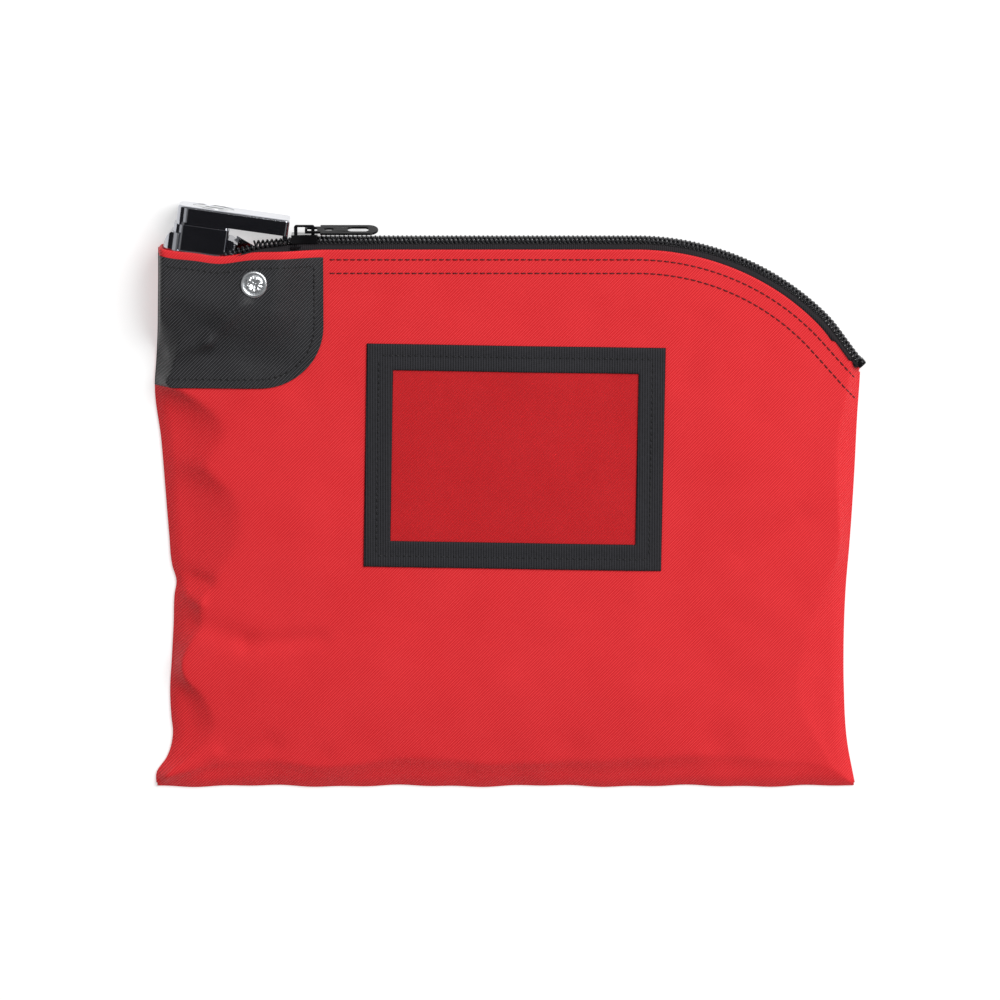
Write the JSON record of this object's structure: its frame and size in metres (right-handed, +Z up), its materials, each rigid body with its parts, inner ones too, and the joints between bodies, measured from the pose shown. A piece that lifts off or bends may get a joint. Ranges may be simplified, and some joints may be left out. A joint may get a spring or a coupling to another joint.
{
  "type": "locking cash deposit bag",
  "caption": "Flat rectangular zippered cash bag with a press-down key lock in one mouth corner, a reinforced cloth corner and a framed card window, lying on its back.",
  "frame": {"origin": "centre of the back panel's underside, on the surface the bag lies on", "axes": "+X along the bag's width, away from the lock; +Y from the bottom seam to the zippered mouth; +Z up, out of the front panel"},
  "size_m": [0.2818, 0.2349, 0.0244],
  "materials": {
    "red_nylon": "laminated woven nylon with a slight sheen",
    "ballistic_cloth": "coarse woven ballistic nylon",
    "binding_tape": "flat woven tape",
    "window_tape": "ribbed woven tape",
    "clear_vinyl": "clear sheet",
    "zipper_cloth": "woven zipper tape",
    "coil_nylon": "moulded monofilament",
    "black_enamel": "gloss black enamel over zinc",
    "chrome": "polished plating",
    "cylinder_brass": "turned",
    "plug_nickel": "nickel-plated",
    "spring_steel": "drawn and turned",
    "rivet_nickel": "nickel-plated"
  },
  "bodies": {
    "bag": {"front_panel": "red_nylon", "back_panel": "red_nylon", "corner_patch": "ballistic_cloth", "left_seam_tape": "binding_tape", "right_seam_tape": "binding_tape", "bottom_seam_tape": "binding_tape", "window_tape_top": "window_tape", "window_tape_bottom": "window_tape", "window_tape_left": "window_tape", "window_tape_right": "window_tape", "window_pane": "clear_vinyl", "zipper_tape_front": "zipper_cloth", "zipper_tape_back": "zipper_cloth", "zipper_coil_front": "coil_nylon", "zipper_coil_back": "coil_nylon", "zipper_end_stop": "black_enamel", "lock_housing": "chrome", "plunger_stop_pin": "spring_steel", "lock_rivet": "rivet_nickel", "rivet_washer": "rivet_nickel", "popup_spring": "spring_steel"},
    "head": {"lock_head": "chrome", "lock_plunger": "chrome", "cylinder_shell": "cylinder_brass", "driver_pins": "cylinder_brass", "pin_springs": "spring_steel", "pin_chamber_cover": "cylinder_brass", "head_pins": "spring_steel", "latch_spring": "spring_steel"},
    "plug": {"key_plug": "plug_nickel", "key_pins": "cylinder_brass", "plug_cam": "plug_nickel"},
    "bolt": {"latch_bolt": "spring_steel"},
    "slider": {"zipper_slider": "black_enamel"},
    "pull": {"zipper_pull": "black_enamel"}
  },
  "joints": [
    {"name": "head_press", "type": "slide", "parent": "bag", "child": "head", "axis": [0.1392, 0.9903, 0], "range_m": [-0.004, 0], "stiffness_N_per_m": 150, "deforming": ["popup_spring", "zipper_tape_front", "zipper_tape_back", "zipper_coil_front", "zipper_coil_back"]},
    {"name": "key_turn", "type": "hinge", "parent": "head", "child": "plug", "pos_m": [-0.118, 0.1146, 0.0111], "axis": [0.1392, 0.9903, 0], "range_deg": [0, 90]},
    {"name": "bolt_slide", "type": "slide", "parent": "head", "child": "bolt", "axis": [-0.9903, 0.1392, 0], "range_m": [0, 0.0016], "deforming": ["latch_spring"]},
    {"name": "slider_run", "type": "slide", "parent": "bag", "child": "slider", "axis": [1, 0, 0], "range_m": [0, 0.124], "deforming": ["zipper_coil_front", "zipper_coil_back", "zipper_tape_front", "zipper_tape_back"]},
    {"name": "pull_swing", "type": "hinge", "parent": "slider", "child": "pull", "pos_m": [-0.0802, 0.1145, 0.008], "axis": [0, -0.342, 0.9397], "range_deg": [0, 115]}
  ],
  "couplings": [
    {"joint": "bolt_slide", "follows": "key_turn", "m_per_rad": 0.0010186}
  ]
}
